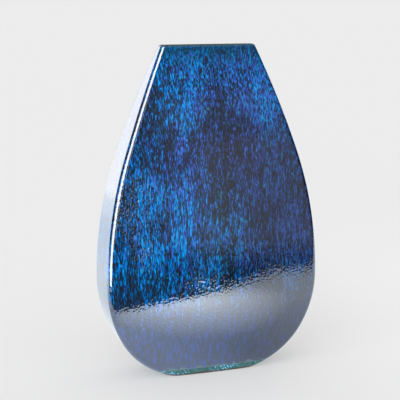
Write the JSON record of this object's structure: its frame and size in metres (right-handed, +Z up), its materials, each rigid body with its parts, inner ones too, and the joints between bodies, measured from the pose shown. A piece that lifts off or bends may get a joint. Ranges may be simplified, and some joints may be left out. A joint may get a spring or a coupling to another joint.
{
  "type": "stoneware vase",
  "caption": "Flattened drop-shaped stoneware vase with a narrow slot mouth, crowned faces, streaked blue glaze and a teal band over a bare foot ring.",
  "frame": {"origin": "centre of the foot, on the surface that the vase stands on", "axes": "+Z up through the mouth, X across the broad face, -Y out of the front face"},
  "size_m": [0.252, 0.081, 0.38],
  "materials": {
    "clay": "fired stoneware body, under the glaze",
    "bare_clay": "bare fired stoneware, matt and slightly gritty",
    "blue_glaze": "very glossy blue-black glaze with fine bright blue streaks",
    "teal_glaze": "glossy teal glaze with light blue specks",
    "lip_glaze": "glossy glaze, thinner and darker where it breaks over the rim",
    "liner_glaze": "glossy dark liner glaze"
  },
  "bodies": {
    "root": {"front_wall": "clay", "back_wall": "clay", "left_side_wall": "clay", "right_side_wall": "clay", "base_slab": "clay", "foot_ring": "bare_clay", "base_seam_coil": "clay", "front_left_seam_coil": "clay", "front_right_seam_coil": "clay", "back_left_seam_coil": "clay", "back_right_seam_coil": "clay", "outer_glaze": "blue_glaze", "foot_glaze_band": "teal_glaze", "lip_glaze": "lip_glaze", "liner_glaze": "liner_glaze"}
  },
  "joints": []
}
